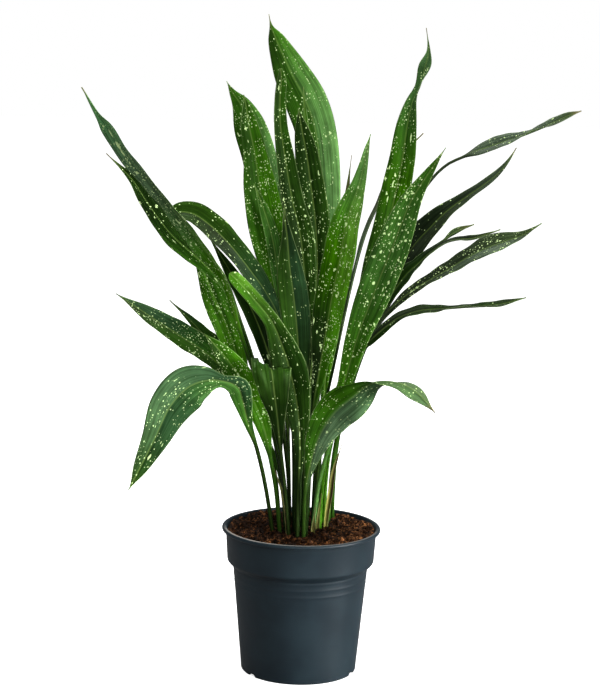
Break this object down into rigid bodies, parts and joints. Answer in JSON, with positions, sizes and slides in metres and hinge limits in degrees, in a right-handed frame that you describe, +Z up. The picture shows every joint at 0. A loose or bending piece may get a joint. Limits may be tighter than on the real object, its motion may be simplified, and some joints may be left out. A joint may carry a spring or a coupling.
{
  "type": "potted cast iron plant",
  "caption": "Potted cast iron plant: speckled, pointed strap leaves on long stalks rise and arch out of a filled plastic nursery pot with drain holes.",
  "frame": {"origin": "centre of the pot's underside, on the surface that it stands on", "axes": "+Z up along the pot's axis; -Y towards the front of the plant, where the low wavy and arching leaves are; +X to the viewer's right"},
  "size_m": [0.5167, 0.3779, 0.6942],
  "materials": {
    "pot": "slate blue-grey moulded plastic, satin",
    "soil": "coarse moist peat with fibres, matt",
    "leaf": "tough green leaf with cream speckles and fine lengthwise veins, soft sheen",
    "sheath": "dry papery straw and brown, matt"
  },
  "bodies": {
    "root": {"pot": "pot", "soil": "soil", "leaf_left_high": "leaf", "leaf_left_high_under": "leaf", "leaf_left_bright": "leaf", "leaf_left_low_arch": "leaf", "leaf_front_wavy": "leaf", "leaf_left_short": "leaf", "leaf_left_pointed": "leaf", "leaf_left_dark": "leaf", "leaf_left_arch_back": "leaf", "leaf_front_curl": "leaf", "leaf_left_inner": "leaf", "leaf_tall_left_rear": "leaf", "leaf_tall_left_front": "leaf", "leaf_young_left": "leaf", "leaf_centre_shaded": "leaf", "leaf_centre_tall": "leaf", "leaf_centre_dark": "leaf", "leaf_tallest": "leaf", "leaf_young_centre": "leaf", "leaf_right_of_centre": "leaf", "leaf_dry_tipped": "leaf", "leaf_edge_on": "leaf", "leaf_right_tall": "leaf", "leaf_right_front": "leaf", "leaf_right_upper": "leaf", "leaf_right_dark": "leaf", "leaf_young_right": "leaf", "leaf_right_thin": "leaf", "leaf_right_speckled": "leaf", "leaf_right_low": "leaf", "leaf_right_low_arch": "leaf", "leaf_back_arch": "leaf", "leaf_back_left": "leaf", "leaf_back_right": "leaf", "leaf_back_low": "leaf", "leaf_back_tall": "leaf", "sheath_brown": "sheath", "sheath_yellow": "sheath", "sheath_pink": "sheath", "sheath_papery": "sheath"}
  },
  "joints": []
}
